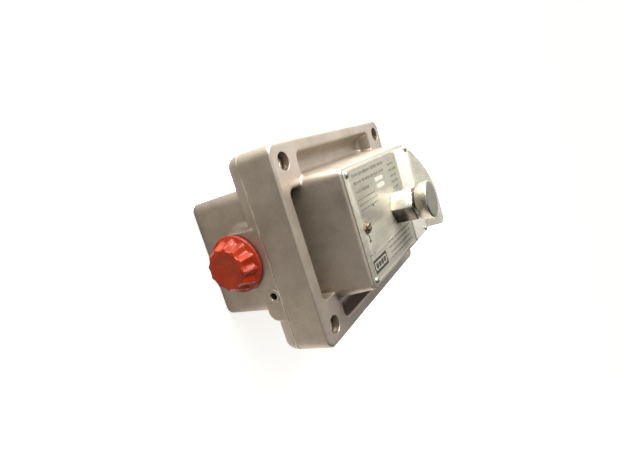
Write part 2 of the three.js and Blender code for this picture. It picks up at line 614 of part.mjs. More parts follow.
function latch() {
  const seat = BASE_TOP + SEAT;
  piece('magnet_post', post(MAGNET.x, 0, MAGNET.postR, seat, MAGNET.split, 24), STEEL());
  const magnet = post(MAGNET.x, 0, MAGNET.r, MAGNET.split + SEAT, MAGNET.top, 32);
  piece('latch_magnet', magnet, look(0x50524f, 0.5, 0.8));
  const { x0, x1, y0, thick, lipZ } = STOP;
  piece('stop_bracket', join(
    box(x0, x1, y0, y0 + thick, seat, lipZ + thick),
    box(x0, x1, -4, y0 + thick, lipZ, lipZ + thick),
    box(x0 + 3, x1 + 6, y0 - 3.5, y0 + thick, seat, seat + thick),
  ), STEEL());
}

function snapSwitch() {
  const seat = BASE_TOP + SEAT;
  const { x0, x1, halfY, z0, z1, plungerX, plungerR, plungerTop } = SWITCH;
  const fixings = [[x0 + 4, z0 + 3], [x1 - 4, z0 + 3]];
  const through = joinAll(fixings.map(([x, z]) => alongY(-20, 20, 1.2 + FIT, x, z, 16)));
  const well = post(plungerX, 0, plungerR + 0.08, z1 - 3, z1 + 1, 20);
  piece('snap_switch', cut(box(x0, x1, -halfY, halfY, z0, z1), through, well), look(0x23211f, 0.55, 0));
  piece('switch_plunger', post(plungerX, 0, plungerR, z1 - 1.6, plungerTop, 20), look(0xb23a2a, 0.5, 0));
  const wallY = halfY + SEAT;
  piece('switch_bracket', cut(
    join(
      box(x0, x1, wallY, wallY + 1.6, seat, z1 - 4),
      box(x0, x1, wallY, wallY + 9, seat, seat + 1.6),
    ),
    through,
  ), STEEL());
  fixings.forEach(([x, z], i) => {
    const face = -halfY - SEAT;
    const screw = cut(
      join(alongY(face - 1.6, face, 2.3, x, z, 20), alongY(face - 1, wallY + 3, 1.2, x, z, 16)),
      box(x - 0.3, x + 0.3, face - 3, face - 0.9, z - 3, z + 3),
    );
    piece(`switch_screw_${i + 1}`, screw, STEEL());
  });
}

// positions of the three terminals across the block
const terminalY = (i) => (i - 1) * TERMINALS.pitch;

function terminals() {
  const { x0, x1, halfY, z0, z1, wellDepth } = TERMINALS;
  const screwX = x0 + 5;
  const wells = joinAll([0, 1, 2].map((i) => join(
    post(screwX, terminalY(i), M3.headR + FIT, z1 - wellDepth, z1 + 1, 16),
    post(screwX, terminalY(i), M3.r + FIT, z1 - 8, z1, 10),
  )));
  const entries = joinAll([0, 1, 2].map((i) =>
    alongX(x1 - 3, x1 + 1, WIRE_R + FIT, terminalY(i), z1 - 6, 12)));
  piece('terminal_block', cut(box(x0, x1, -halfY, halfY, z0, z1), wells, entries), look(0x1f1e1c, 0.6, 0));
  [0, 1, 2].forEach((i) => {
    const screw = slottedScrew(screwX, terminalY(i), z1 - wellDepth + SEAT, z1 - 7);
    piece(`terminal_screw_${i + 1}`, screw, BRASS());
  });
}

// insulated leads from the switch's underside, over the floor, to the terminal block
function leads() {
  const colours = [0x9b2a22, 0x2b4a86, 0xd8d4c8];
  const startX = [15, 24, 33];
  [0, 1, 2].forEach((i) => {
    const y = terminalY(i);
    const z = TERMINALS.z1 - 6;
    const path = new THREE.CatmullRomCurve3([
      new THREE.Vector3(TERMINALS.x1 - 2.4, y, z),
      new THREE.Vector3(TERMINALS.x1 + 2, y, z - 0.4),
      new THREE.Vector3(BASE.x0, y * 0.8, 8.2),
      new THREE.Vector3(0, y * 0.55, 8.2),
      new THREE.Vector3(startX[i] + 8, y * 0.35 - 3, 8.4),
    ]);
    piece(`lead_wire_${i + 1}`, solid(swept(path, WIRE_R, 18, 6)), look(colours[i], 0.5, 0));
  });
}

enclosure();
platework();
resetButton();
setpoint();
piece('conduit_plug', conduitPlug(), look(0xc8421f, 0.45, 0));
chassis();
piece('pivot_bracket', pivotBracket(), STEEL());
piece('pivot_pin', alongY(-PIVOT.halfY, PIVOT.halfY, PIVOT.pinR, PIVOT.x, PIVOT.z, 24), STEEL());
tiltingArm();
latch();
snapSwitch();
terminals();
leads();

export default object;
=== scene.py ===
"""Looks for an explosion-proof vibration switch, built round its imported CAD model.

Metres. +Z points out of the nameplate, +X along its reading direction and +Y up it.
"""

import json
import math
import random

import bmesh
import bpy
from mathutils import Matrix, Vector


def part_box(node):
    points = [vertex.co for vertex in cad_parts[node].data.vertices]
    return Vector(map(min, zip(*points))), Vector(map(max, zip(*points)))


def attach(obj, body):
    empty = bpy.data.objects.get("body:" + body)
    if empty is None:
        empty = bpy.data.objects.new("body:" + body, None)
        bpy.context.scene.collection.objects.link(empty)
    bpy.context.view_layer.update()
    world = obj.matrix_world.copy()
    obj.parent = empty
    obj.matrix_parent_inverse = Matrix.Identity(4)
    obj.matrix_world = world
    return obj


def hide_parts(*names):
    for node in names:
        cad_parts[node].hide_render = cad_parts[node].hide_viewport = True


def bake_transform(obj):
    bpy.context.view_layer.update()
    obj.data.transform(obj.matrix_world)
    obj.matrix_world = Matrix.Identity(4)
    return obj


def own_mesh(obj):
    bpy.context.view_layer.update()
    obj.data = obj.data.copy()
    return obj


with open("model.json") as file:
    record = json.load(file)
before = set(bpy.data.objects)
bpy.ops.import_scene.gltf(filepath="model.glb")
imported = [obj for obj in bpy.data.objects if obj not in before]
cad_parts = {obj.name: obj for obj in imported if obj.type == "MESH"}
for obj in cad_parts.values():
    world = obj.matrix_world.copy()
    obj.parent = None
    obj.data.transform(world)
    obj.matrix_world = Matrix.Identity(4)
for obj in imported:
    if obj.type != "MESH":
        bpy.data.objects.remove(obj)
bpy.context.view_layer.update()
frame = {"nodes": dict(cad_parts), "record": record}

MM = 0.001
TAU = 2 * math.pi

# ---- driving dimensions: places from the frame, then the sizes of the castings -----------------
BODY_LOW, BODY_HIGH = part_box("body_housing")
COVER_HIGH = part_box("cover")[1]
PLATE_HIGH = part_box("nameplate")[1]
PLUG_LOW, PLUG_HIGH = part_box("conduit_plug")
CAP_LOW, CAP_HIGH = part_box("button_cap")
SETPOINT_LOW, SETPOINT_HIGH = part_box("setpoint_screw")

JOINT_Z = BODY_HIGH.z
RIM = JOINT_Z + 20 * MM
FRONT = COVER_HIGH.z
FLANGE_X, FLANGE_Y = COVER_HIGH.x, COVER_HIGH.y
PLATE_TOP = PLATE_HIGH.z
BUTTON = (CAP_LOW + CAP_HIGH) / 2
SETPOINT = (SETPOINT_LOW + SETPOINT_HIGH) / 2
HUB_FACE = BODY_LOW.x
HUB_Z = (PLUG_LOW.z + PLUG_HIGH.z) / 2

# outlines are (half width, half height, corner radius); R is a radius
FLANGE = (FLANGE_X, FLANGE_Y, 5.5 * MM)
FLANGE_BACK = RIM - 30.4 * MM
FLANGE_ROUND = 9.5 * MM
FLASH = 0.03 * MM                  # how far the casting flash stands proud along the parting line
REAR = (58 * MM, 35 * MM, 5 * MM)
REAR_EDGE, REAR_DRAFT, REAR_FILLET = 2.2 * MM, 0.8 * MM, 3 * MM
CAVITY_X, CAVITY_Y, CAVITY_CORNER, CAVITY_FLOOR = 52 * MM, 28 * MM, 6 * MM, 5 * MM
HUB_R, HUB_FILLET, BORE_R = 15.8 * MM, 6 * MM, 12.6 * MM
EARTH_Y, EARTH_Z, EARTH_R, EARTH_MOUTH_R = -20.6 * MM, RIM - 24 * MM, 1.9 * MM, 2.4 * MM
MOUNT_X, MOUNT_Y, MOUNT_BOSS_R, MOUNT_R = 46.5 * MM, 22.5 * MM, 6.2 * MM, 2.1 * MM
POCKET = (50.5 * MM, 46.5 * MM, 4 * MM)
END_POCKET = (66.5 * MM, 29.5 * MM, 4 * MM)
POCKET_FLOOR, POCKET_SLOPE, POCKET_FOOT = RIM - 9 * MM, 3.5 * MM, 1.6 * MM
BOX = (53 * MM, 32 * MM, 3.6 * MM)
BOX_DRAFT, BOX_FILLET = 0.1, 1.5 * MM
HOLLOW = (48.5 * MM, 27.5 * MM, 4 * MM)
BOLT_X, BOLT_Y, BOLT_R, COUNTERBORE_R = 63.6 * MM, 43.5 * MM, 2.8 * MM, 4.75 * MM
RIVET_X, RIVET_Y, RIVET_R = 48.3 * MM, 28 * MM, 1.1 * MM
BUSHING_R, SETPOINT_R = 6.8 * MM, 3.1 * MM

OUTSIDE_X, OUTSIDE_Y = 80 * MM, 60 * MM    # beyond every edge of the case
CLOSED = 0.01 * MM                 # radius left on the axis of a turned piece
LEAST_R = 1e-6                     # no turned ring is smaller, so its corners stay apart
SLIVER = 0.001 * MM                # edges shorter than this are dissolved
STRAY = 4                          # islands of fewer faces than this are removed
WELD = 0.002 * MM                  # corners closer than this become one
VOXEL = 0.6 * MM                   # grid of the remesh that softens the castings
LEAST_CORNER = 0.6 * MM            # smallest corner radius of an outline
MOST_CORNER = 0.96                 # and the largest, as a share of half its width or height
SIGNS = [(-1, 1), (1, 1), (1, -1), (-1, -1)]


# ---- mesh tools --------------------------------------------------------------------------------
def link(name, mesh):
    obj = bpy.data.objects.new(name, mesh)
    bpy.context.scene.collection.objects.link(obj)
    return obj


def from_bmesh(name, bm):
    bmesh.ops.recalc_face_normals(bm, faces=bm.faces)
    mesh = bpy.data.meshes.new(name)
    bm.to_mesh(mesh)
    bm.free()
    return link(name, mesh)


def bake(obj):
    """Turns an object's modifiers into its mesh."""
    graph = bpy.context.evaluated_depsgraph_get()
    mesh = bpy.data.meshes.new_from_object(obj.evaluated_get(graph))
    obj.modifiers.clear()
    obj.data = mesh
    return obj


def combine(target, tools, operation):
    """Boolean of target with each tool; the tools are used up."""
    for tool in tools:
        modifier = target.modifiers.new("combine", "BOOLEAN")
        modifier.operation = operation
        modifier.solver = "MANIFOLD"
        modifier.object = tool
        bake(target)
        bpy.data.objects.remove(tool)
    return target


def join(target, *tools):
    return combine(target, tools, "UNION")


def cut(target, *tools):
    return combine(target, tools, "DIFFERENCE")


def loft(name, rings, capped=True):
    """Skin through rings of the same number of points, with flat ends or else closed on itself."""
    bm = bmesh.new()
    rows = [[bm.verts.new(p) for p in ring] for ring in rings]
    count = len(rows[0])
    for low, high in zip(rows, rows[1:]):
        for i in range(count):
            j = (i + 1) % count
            bm.faces.new((low[i], low[j], high[j], high[i]))
    if capped:
        bm.faces.new(list(reversed(rows[0])))
        bm.faces.new(rows[-1])
    else:
        for i in range(count):
            j = (i + 1) % count
            bm.faces.new((rows[-1][i], rows[-1][j], rows[0][j], rows[0][i]))
    return from_bmesh(name, bm)


def rounded_ring(half_x, half_y, corner, z, grow=0.0, steps=10):
    """Rounded rectangle at height z, grown outwards by grow."""
    r = min(max(corner + grow, LEAST_CORNER), MOST_CORNER * (half_x + grow), MOST_CORNER * (half_y + grow))
    points = []
    for quarter, (sx, sy) in enumerate([(1, -1), (1, 1), (-1, 1), (-1, -1)]):
        for i in range(steps + 1):
            angle = (quarter - 1 + i / steps) * TAU / 4
            x = sx * (half_x + grow - r) + r * math.cos(angle)
            y = sy * (half_y + grow - r) + r * math.sin(angle)
            points.append((x, y, z))
    return points


def levels(outline, heights):
    """Rings of one outline at several (z, grow) heights."""
    return [rounded_ring(*outline, z, grow) for z, grow in heights]


def slab(half_x, half_y, corner, z0, z1):
    return loft("slab", levels((half_x, half_y, corner), [(z0, 0), (z1, 0)]))


def turned(name, profile, segments=96, place=(0, 0, 0), axis="Z", scallops=0, closed=False):
    """Lathe of (radius, height, scallop depth) points round Z or X; scallops cut flutes into the rim."""
    rings = []
    for r, h, *depth in profile:
        ring = []
        for i in range(segments):
            angle = TAU * i / segments
            flute = depth[0] * abs(math.cos(scallops * angle / 2)) ** 1.3 if depth else 0.0
            radius = max(r - flute, LEAST_R)
            a, b = radius * math.cos(angle), radius * math.sin(angle)
            point = (a, b, h) if axis == "Z" else (h, a, b)
            ring.append(tuple(Vector(point) + Vector(place)))
        rings.append(ring)
    return loft(name, rings, capped=not closed)


def post(x, y, r, z0, z1, segments=48, top=None):
    return turned("post", [(r, z0), (top or r, z1)], segments, (x, y, 0))


def along_x(x0, x1, r, y, z, end=None, segments=96):
    return turned("bar", [(r, x0), (end or r, x1)], segments, (0, y, z), "X")


def block(x0, x1, y0, y1, z0, z1):
    corners = [(x0, y0), (x1, y0), (x1, y1), (x0, y1)]
    return loft("block", [[(x, y, z) for x, y in corners] for z in (z0, z1)])


def layer(z0, z1):
    """A block wider than the case, to trim it flat."""
    return block(-OUTSIDE_X, OUTSIDE_X, -OUTSIDE_Y, OUTSIDE_Y, z0, z1)


def quarter_round(z0, radius, steps=10):
    """The (z, grow) heights of an edge that opens from shrunk by radius at z0 to full size."""
    heights = []
    for i in range(steps + 1):
        angle = i / steps * TAU / 4
        heights.append((z0 + radius * (1 - math.cos(angle)), radius * (math.sin(angle) - 1)))
    return heights


def soften(obj, passes, keep):
    """Voxel remesh and smoothing give a casting its soft edges and fillets; decimation thins the flats."""
    remesh = obj.modifiers.new("remesh", "REMESH")
    remesh.mode = "VOXEL"
    remesh.voxel_size = VOXEL
    smooth = obj.modifiers.new("smooth", "SMOOTH")
    smooth.factor = 0.5
    smooth.iterations = passes
    thin = obj.modifiers.new("thin", "DECIMATE")
    thin.ratio = keep
    bake(obj)


def clean(obj):
    """Removes the slivers and loose faces that cuts and bevels leave behind."""
    bm = bmesh.new()
    bm.from_mesh(obj.data)
    bmesh.ops.dissolve_degenerate(bm, dist=SLIVER, edges=bm.edges)
    seen, stray = set(), []
    for face in bm.faces:
        if face in seen:
            continue
        seen.add(face)
        island = [face]
        for member in island:
            for edge in member.edges:
                for near in edge.link_faces:
                    if near not in seen:
                        seen.add(near)
                        island.append(near)
        if len(island) < STRAY:
            stray += island
    bmesh.ops.delete(bm, geom=stray, context="FACES")
    bm.to_mesh(obj.data)
    bm.free()
    return obj


def shade(obj, degrees):
    """Smooth shading, with edges sharper than this angle kept crisp."""
    for polygon in obj.data.polygons:
        polygon.use_smooth = True
    obj.data.set_sharp_from_angle(angle=math.radians(degrees))
    return obj


def bevelled(obj, width):
    modifier = obj.modifiers.new("bevel", "BEVEL")
    modifier.width = width
    modifier.segments = 2
    modifier.limit_method = "ANGLE"
    modifier.angle_limit = math.radians(30)
    return shade(clean(bake(obj)), 40)


def welded_copy(node):
    """A clean copy of a CAD node: shared corners, flat faces dissolved into one."""
    bm = bmesh.new()
    bm.from_mesh(frame["nodes"][node].data)
    bmesh.ops.remove_doubles(bm, verts=bm.verts, dist=WELD)
    bmesh.ops.dissolve_limit(bm, angle_limit=math.radians(0.6), verts=bm.verts, edges=bm.edges)
    return from_bmesh(node + "_part", bm)


def dress(obj, material, body, *nodes):
    """Material, body and the CAD nodes that this piece stands for."""
    obj.data.materials.clear()
    obj.data.materials.append(material)
    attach(obj, body)
    if nodes:
        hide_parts(*nodes)
    return obj


SLOT_OF = {part["node"]: part["material_slot"] for part in frame["record"]["subparts"]}
BODY_OF = {node: body for body, nodes in frame["record"]["behaviour"]["bodies"].items() for node in nodes}


# ---- material tools ----------------------------------------------------------------------------
class Look:
    """A Principled material with short helpers for its node tree; textures use the object's own metres."""

    def __init__(self, name, **settings):
        self.material = bpy.data.materials.new(name)
        self.material.use_nodes = True
        self.nodes = self.material.node_tree.nodes
        self.links = self.material.node_tree.links
        self.shader = self.nodes["Principled BSDF"]
        self.place = self.nodes.new("ShaderNodeTexCoord").outputs["Object"]
        self.normal = self.nodes.new("ShaderNodeNewGeometry").outputs["Normal"]
        for key, value in settings.items():
            self.set(key.replace("_", " ").title(), value)

    def set(self, socket, value):
        target = next(s for s in self.shader.inputs if s.name.lower() == socket.lower())
        self.feed(target, value)

    def feed(self, socket, value):
        if isinstance(value, bpy.types.NodeSocket):
            self.links.new(value, socket)
        elif isinstance(value, tuple) and len(value) == 3 and socket.type == "RGBA":
            socket.default_value = (*value, 1)
        else:
            socket.default_value = value

    def add(self, kind, output=0, **inputs):
        node = self.nodes.new("ShaderNode" + kind)
        for key, value in inputs.items():
            if hasattr(node, key):
                setattr(node, key, value)
            else:
                self.feed(node.inputs[key.replace("_", " ")], value)
        return node.outputs[output]

    def noise(self, scale, detail=3.0, rough=0.55, stretch=None):
        vector = self.place
        if stretch:
            vector = self.add("Mapping", Vector=self.place, Scale=stretch)
        return self.add("TexNoise", Vector=vector, Scale=scale, Detail=detail, Roughness=rough)

    def ramp(self, factor, *stops):
        node = self.nodes.new("ShaderNodeValToRGB")
        self.links.new(factor, node.inputs[0])
        elements = node.color_ramp.elements
        while len(elements) < len(stops):
            elements.new(0.5)
        for element, (position, colour) in zip(elements, stops):
            element.position = position
            element.color = (*colour, 1) if isinstance(colour, tuple) else (colour, colour, colour, 1)
        return node.outputs[0]

    def mix(self, factor, a, b, blend="MIX"):
        node = self.nodes.new("ShaderNodeMix")
        node.data_type = "RGBA"
        node.blend_type = blend
        self.feed(node.inputs[0], factor)
        self.feed(node.inputs[6], a)
        self.feed(node.inputs[7], b)
        return node.outputs[2]

    def maths(self, operation, a, b=0.5, clamp=False):
        node = self.nodes.new("ShaderNodeMath")
        node.operation = operation
        node.use_clamp = clamp
        self.feed(node.inputs[0], a)
        self.feed(node.inputs[1], b)
        return node.outputs[0]

    def bump(self, height, depth, strength=1.0, normal=None):
        node = self.nodes.new("ShaderNodeBump")
        node.inputs["Strength"].default_value = strength
        node.inputs["Distance"].default_value = depth
        self.links.new(height, node.inputs["Height"])
        if normal:
            self.links.new(normal, node.inputs["Normal"])
        return node.outputs[0]

    def edges(self, radius, gain):
        """1 on worn convex edges and in tight corners, 0 on flats."""
        rounded = self.add("Bevel", Radius=radius, samples=6)
        node = self.nodes.new("ShaderNodeVectorMath")
        node.operation = "DOT_PRODUCT"
        self.links.new(rounded, node.inputs[0])
        self.links.new(self.normal, node.inputs[1])
        bend = self.maths("SUBTRACT", 1.0, node.outputs["Value"], True)
        return self.maths("MULTIPLY", bend, gain, True)

    def corners(self, distance):
        """1 in the open, darker in cavities."""
        return self.add("AmbientOcclusion", 1, Distance=distance, samples=6)


def cast_metal():
    """Cast aluminium, tumbled to a warm satin: grain, soft pitting, bright worn edges, painted shade in
    corners.

    Recesses get extra painted shade on faces turned to -X, and a thin painted highlight runs along the
    joint.
    """
    look = Look("cast_metal", metallic=0.66)
    cloud = look.ramp(look.noise(38, 7, 0.66), (0.32, (0.380, 0.326, 0.270)), (0.68, (0.535, 0.470, 0.402)))
    grain = look.ramp(look.noise(900, 3), (0.35, 0.94), (0.65, 1.03))
    colour = look.mix(1.0, cloud, grain, "MULTIPLY")
    # Painted shade: ambient occlusion darkens corners and creases.
    corner_shade = look.ramp(look.corners(10 * MM), (0.20, (0.42, 0.39, 0.35)), (0.80, (1.0, 1.0, 1.0)))
    colour = look.mix(0.85, colour, corner_shade, "MULTIPLY")
    # Painted shade: a wide occlusion darkens recesses, most strongly on faces turned to -X.
    recess_shade = look.ramp(look.corners(34 * MM), (0.35, (0.50, 0.48, 0.45)), (0.85, (1.0, 1.0, 1.0)))
    left = look.maths("MULTIPLY", look.add("SeparateXYZ", 0, Vector=look.normal), -1.0, True)
    colour = look.mix(look.ramp(left, (0.3, 0.2), (0.9, 0.70)), colour, recess_shade, "MULTIPLY")
    # Painted highlight: a thin bright line along the joint, broken up by noise.
    from_joint = look.maths("SUBTRACT", look.add("SeparateXYZ", 2, Vector=look.place), JOINT_Z)
    distance = look.maths("ABSOLUTE", look.maths("DIVIDE", from_joint, MM))
    joint_highlight = look.ramp(distance, (0.25, 1.0), (0.55, 0.0))
    joint_highlight = look.maths("MULTIPLY", joint_highlight, look.ramp(look.noise(120, 2), (0.42, 0.40), (0.62, 0.95)))
    colour = look.mix(joint_highlight, colour, (0.86, 0.80, 0.71))
    worn = look.edges(0.8 * MM, 3.0)
    look.set("Base Color", look.mix(look.maths("MULTIPLY", worn, 0.3), colour, (0.74, 0.68, 0.59)))
    look.set("Roughness", look.ramp(look.noise(160, 5), (0.3, 0.31), (0.7, 0.48)))
    rounded = look.add("Bevel", Radius=0.12 * MM, samples=4)
    pits = look.bump(look.noise(1300, 4), 0.03 * MM, 0.30, rounded)
    look.set("Normal", look.bump(look.noise(80, 3), 0.25 * MM, 0.45, pits))
    return look.material


def plain_steel(name="plain_steel", colour=(0.56, 0.54, 0.50), rough=0.32):
    look = Look(name, metallic=1.0)
    streaks = look.noise(900, 3, stretch=(1, 1, 0.12))
    look.set("Base Color", look.mix(look.noise(300), tuple(c * 0.82 for c in colour), colour))
    look.set("Roughness", look.ramp(streaks, (0.3, rough - 0.08), (0.7, rough + 0.12)))
    look.set("Normal", look.bump(streaks, 0.01 * MM, 0.5))
    return look.material


def bright_plating():
    """Nickel plate over machined brass: nearly a mirror, finely drawn, with painted shade on its -Y side.
    """
    look = Look("bright_plating", metallic=1.0)
    lines = look.noise(1600, 2, stretch=(1, 1, 0.05))
    plating_tone = look.mix(look.noise(420), (0.80, 0.77, 0.71), (0.90, 0.88, 0.83))
    facing = look.add("SeparateXYZ", 1, Vector=look.normal)
    # Painted shade: faces turned to -Y, away from the lamps above, are darkened.
    underside_shade = look.ramp(look.maths("ADD", facing, 0.5, True), (0.0, 1.0), (0.35, 0.0))
    look.set("Base Color", look.mix(underside_shade, plating_tone, (0.165, 0.142, 0.120)))
    look.set("Roughness", look.ramp(lines, (0.3, 0.20), (0.7, 0.30)))
    look.set("Normal", look.bump(lines, 0.004 * MM, 0.35, look.add("Bevel", Radius=0.25 * MM, samples=4)))
    return look.material


def turned_metal():
    """Satin turned aluminium: concentric tool marks round the button's axis."""
    look = Look("turned_metal", metallic=0.9)
    node = look.nodes.new("ShaderNodeVectorMath")
    node.operation = "SUBTRACT"
    look.links.new(look.place, node.inputs[0])
    node.inputs[1].default_value = (BUTTON.x, BUTTON.y, 0)
    rings = look.add("TexWave", Vector=node.outputs[0], wave_type="RINGS", rings_direction="Z", Scale=520,
                     Distortion=0.6, Detail=2.0)
    look.set("Base Color", look.mix(look.noise(260), (0.36, 0.335, 0.27), (0.45, 0.42, 0.34)))
    look.set("Roughness", look.ramp(rings, (0.2, 0.26), (0.8, 0.36)))
    look.set("Normal", look.bump(rings, 0.012 * MM, 0.35))
    return look.material


def plate_metal():
    """Anodised nameplate sheet, pale greenish grey, brushed along its length and slightly stained."""
    look = Look("plate_metal", metallic=0.9)
    brushed = look.noise(700, 3, stretch=(0.06, 1, 1))
    stain = look.ramp(look.noise(48, 5), (0.3, (0.500, 0.488, 0.416)), (0.7, (0.665, 0.626, 0.538)))
    look.set("Base Color", look.mix(0.25, stain, look.ramp(brushed, (0.3, 0.38), (0.7, 0.66)), "OVERLAY"))
    look.set("Roughness", look.ramp(brushed, (0.3, 0.48), (0.7, 0.60)))
    look.set("Normal", look.bump(brushed, 0.003 * MM, 0.3))
    return look.material


def print_ink(name, colour):
    look = Look(name, roughness=0.5)
    worn = look.ramp(look.noise(1400, 4), (0.40, 0.65), (0.60, 1.15))
    look.set("Base Color", look.mix(1.0, colour, worn, "MULTIPLY"))
    return look.material


def clear_sheet():
    """Formed polycarbonate gone slightly milky: see-through, warm, with hairline scuffs."""
    look = Look("clear_sheet", ior=1.5)
    height = look.maths("SUBTRACT", look.add("SeparateXYZ", 2, Vector=look.place), PLATE_TOP)
    upright = look.ramp(look.maths("DIVIDE", height, 4 * MM, True), (0.35, 0.0), (0.75, 1.0))
    look.set("Transmission Weight", look.ramp(upright, (0.0, 0.25), (1.0, 0.72)))
    haze = look.mix(upright, (0.78, 0.765, 0.70), (0.87, 0.86, 0.80))
    cloud = look.ramp(look.noise(60), (0.3, 0.94), (0.7, 1.0))
    look.set("Base Color", look.mix(1.0, haze, cloud, "MULTIPLY"))
    scuffs = look.noise(800, 4, stretch=(1, 0.15, 1))
    look.set("Roughness", look.ramp(scuffs, (0.45, 0.10), (0.75, 0.28)))
    look.set("Normal", look.bump(scuffs, 0.004 * MM, 0.4))
    return look.material


def brass():
    look = Look("brass", metallic=1.0)
    look.set("Base Color", look.mix(look.noise(380, 4), (0.24, 0.19, 0.14), (0.44, 0.36, 0.27)))
    look.set("Roughness", look.ramp(look.noise(700), (0.3, 0.25), (0.7, 0.42)))
    look.set("Normal", look.bump(look.noise(1500), 0.01 * MM, 0.4))
    return look.material


def moulded(name, dark, light, rough, wax=0.0):
    """Moulded plastic: slight swirl in the colour, fine skin texture, soft dusty edges."""
    look = Look(name, subsurface_weight=wax, subsurface_radius=(2 * MM, 0.6 * MM, 0.3 * MM),
                specular_ior_level=0.42)
    swirl = look.ramp(look.noise(75, 5, 0.65), (0.32, dark), (0.68, light))
    scuffed = look.maths("MULTIPLY", look.edges(0.5 * MM, 4.0), 0.25)
    look.set("Base Color", look.mix(scuffed, swirl, tuple(min(1.0, c * 1.5 + 0.05) for c in light)))
    look.set("Roughness", look.ramp(look.noise(500, 4), (0.3, rough - 0.08), (0.7, rough + 0.1)))
    look.set("Normal", look.bump(look.noise(1200, 3), 0.03 * MM, 0.3))
    return look.material


CAST = cast_metal()
STEEL = plain_steel()
MATERIALS = {
    "cast_grey": CAST,
    "steel": STEEL,
    "plated": bright_plating(),
    "cap_metal": turned_metal(),
    "nameplate": plate_metal(),
    "clear": clear_sheet(),
    "brass": brass(),
    "red_plastic": moulded("red_plastic", (0.30, 0.018, 0.004), (0.47, 0.046, 0.008), 0.30, 0.02),
    "black_rubber": moulded("black_rubber", (0.010, 0.010, 0.010), (0.022, 0.022, 0.021), 0.65),
    "black_plastic": moulded("black_plastic", (0.012, 0.011, 0.010), (0.026, 0.024, 0.022), 0.45),
    "red_button": moulded("red_button", (0.32, 0.030, 0.015), (0.45, 0.050, 0.025), 0.4),
    "magnet": plain_steel("magnet", (0.16, 0.16, 0.15), 0.45),
    "wire_red": moulded("wire_red", (0.28, 0.015, 0.010), (0.38, 0.025, 0.018), 0.4),
    "wire_blue": moulded("wire_blue", (0.015, 0.050, 0.200), (0.025, 0.080, 0.280), 0.4),
    "wire_white": moulded("wire_white", (0.62, 0.60, 0.53), (0.74, 0.72, 0.65), 0.4),
}


# ---- castings ----------------------------------------------------------------------------------
def hub_fillet():
    """Flared foot that blends the conduit hub into the rear box."""
    profile = [(LEAST_R, -2 * MM), (HUB_R + HUB_FILLET, -2 * MM)]
    steps = 12
    for i in range(steps + 1):
        angle = i / steps * TAU / 4
        profile.append((HUB_R + HUB_FILLET * (1 - math.sin(angle)), HUB_FILLET * (1 - math.cos(angle))))
    profile.append((LEAST_R, HUB_FILLET))
    flipped = [(r, -REAR[0] - h) for r, h in profile]
    return turned("fillet", flipped, 96, (0, 0, HUB_Z), "X")


def ground_lug():
    """Ear beside the hub that carries the earth hole, with one rounded corner."""
    low, round_r, tip, top = -34.4 * MM, 5 * MM, RIM - 30.8 * MM, RIM - 20 * MM
    inner = -62 * MM
    high = -HUB_R + MM
    lug = block(HUB_FACE, inner, low + round_r, high, tip, top)
    return join(lug, block(HUB_FACE, inner, low, high, tip + round_r, top),
                along_x(HUB_FACE, inner, round_r, low + round_r, tip + round_r, segments=48))


def body_casting():
    rear = levels(REAR, quarter_round(0, REAR_EDGE))
    steps = 6
    for i in range(steps + 1):
        angle = i / steps * TAU / 4
        z = FLANGE_BACK - REAR_FILLET * (1 - math.sin(angle))
        rear.append(rounded_ring(*REAR, z, REAR_DRAFT + REAR_FILLET * (1 - math.cos(angle))))
    rear.append(rounded_ring(*REAR, FLANGE_BACK + 4 * MM, REAR_DRAFT + REAR_FILLET))
    flange = levels(FLANGE, quarter_round(FLANGE_BACK, FLANGE_ROUND) + [
        (JOINT_Z - 0.6 * MM, 0), (JOINT_Z - 0.15 * MM, FLASH), (JOINT_Z + MM, FLASH)])
    inner = -CAVITY_X - 2 * MM
    body = loft("body_casting", rear)
    join(body, loft("flange", flange), along_x(HUB_FACE, inner, HUB_R, 0, HUB_Z),
         block(HUB_FACE, inner, -HUB_R, HUB_R, HUB_Z, FLANGE_BACK + FLANGE_ROUND),
         hub_fillet(), ground_lug())
    cut(body, slab(CAVITY_X, CAVITY_Y, CAVITY_CORNER, CAVITY_FLOOR, JOINT_Z + MM))
    soften(body, passes=2, keep=0.3)
    joint, back = layer(JOINT_Z, JOINT_Z + 6 * MM), layer(-2 * MM, 0.02 * MM)
    face = block(HUB_FACE - 2 * MM, HUB_FACE, -OUTSIDE_Y, OUTSIDE_Y, 0, JOINT_Z)
    cut(body, joint, back, face, along_x(HUB_FACE - MM, -CAVITY_X + MM, BORE_R, 0, HUB_Z))
    boss = [(3.8, 1.0), (3.8, -0.10), (3.68, -0.26), (3.4, -0.38), (2.9, -0.42)]
    join(body, turned("earth_boss", [(r * MM, HUB_FACE + x * MM) for r, x in boss], 64,
                      (0, EARTH_Y, EARTH_Z), "X"))
    cut(body, along_x(HUB_FACE - MM, HUB_FACE + 7 * MM, EARTH_R, EARTH_Y, EARTH_Z, segments=32),
        along_x(HUB_FACE - 0.52 * MM, HUB_FACE + 0.1 * MM, EARTH_MOUTH_R, EARTH_Y, EARTH_Z, 1.8 * MM, 32))
    mounts = [(sx * MOUNT_X, sy * MOUNT_Y) for sx, sy in SIGNS]
    join(body, *[post(x, y, MOUNT_BOSS_R, CAVITY_FLOOR - MM, 11.5 * MM) for x, y in mounts])
    cut(body, *[post(x, y, MOUNT_R, -MM, 9 * MM, 32) for x, y in mounts],
        *[post(x, y, 2.8 * MM, -MM, 0.7 * MM, 32, top=1.6 * MM) for x, y in mounts],
        *[post(sx * BOLT_X, sy * BOLT_Y, BOLT_R, RIM - 28.3 * MM, JOINT_Z + MM, 32) for sx, sy in SIGNS])
    return dress(shade(clean(body), 28), CAST, "housing", "body_housing")


